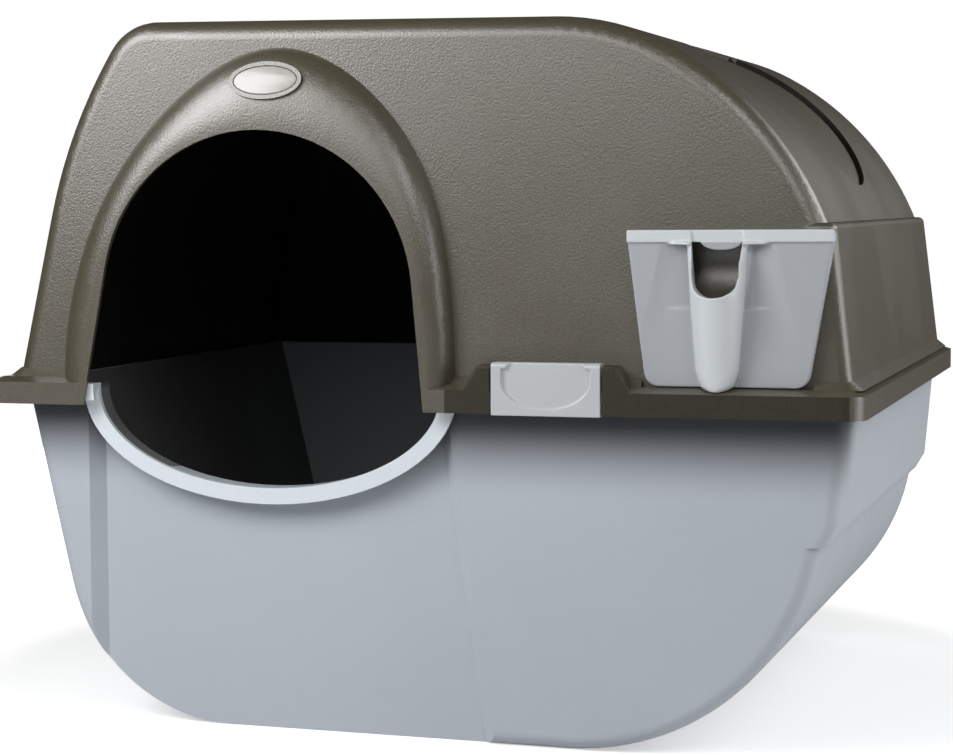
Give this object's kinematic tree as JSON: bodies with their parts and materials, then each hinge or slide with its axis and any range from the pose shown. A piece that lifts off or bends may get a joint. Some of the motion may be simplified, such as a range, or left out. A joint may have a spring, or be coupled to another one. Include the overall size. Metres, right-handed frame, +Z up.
{
  "type": "self-cleaning litter box",
  "caption": "Hooded self-cleaning litter box that sifts when rolled on its side, with arched entry, flanged base pan, clip latches and a pull-out waste tray.",
  "frame": {"origin": "under the middle of the overall box, in the plane of the floor it stands on", "axes": "+X towards the roll side where the waste tray is, the entry faces -Y, +Z up"},
  "size_m": [0.559, 0.4924, 0.4433],
  "materials": {
    "base_pan": "smooth satin",
    "cover": "fine leather grain, matte",
    "sifter_grille": "matte",
    "tray_channel": "matte",
    "waste_tray": "smooth satin",
    "badge_plate": "pearly gloss",
    "sifter_screws": "zinc plated",
    "latch_front": "smooth satin",
    "latch_back_left": "smooth satin",
    "latch_back_right": "smooth satin",
    "latch_left": "smooth satin"
  },
  "bodies": {
    "base": {"base_pan": "base_pan"},
    "cover": {"cover": "cover", "sifter_grille": "sifter_grille", "tray_channel": "tray_channel", "sifter_screws": "sifter_screws", "badge_plate": "badge_plate"},
    "tray": {"waste_tray": "waste_tray"},
    "latch_front": {"latch_front": "latch_front"},
    "latch_back_left": {"latch_back_left": "latch_back_left"},
    "latch_back_right": {"latch_back_right": "latch_back_right"},
    "latch_left": {"latch_left": "latch_left"}
  },
  "joints": [
    {"name": "cover_lift", "type": "slide", "parent": "base", "child": "cover", "axis": [0, 0, 1], "range_m": [0, 0.25]},
    {"name": "tray_slide", "type": "slide", "parent": "cover", "child": "tray", "axis": [0, -1, 0], "range_m": [0, 0.38]},
    {"name": "latch_front_hinge", "type": "hinge", "parent": "cover", "child": "latch_front", "pos_m": [0.094, -0.23125, 0.2285], "axis": [-1, 0, 0], "range_deg": [0, 50]},
    {"name": "latch_back_left_hinge", "type": "hinge", "parent": "cover", "child": "latch_back_left", "pos_m": [-0.15, 0.24075, 0.2285], "axis": [1, 0, 0], "range_deg": [0, 50]},
    {"name": "latch_back_right_hinge", "type": "hinge", "parent": "cover", "child": "latch_back_right", "pos_m": [0.15, 0.24075, 0.2285], "axis": [1, 0, 0], "range_deg": [0, 50]},
    {"name": "latch_left_hinge", "type": "hinge", "parent": "cover", "child": "latch_left", "pos_m": [-0.274, 0.00475, 0.2285], "axis": [0, 1, 0], "range_deg": [0, 50]}
  ]
}
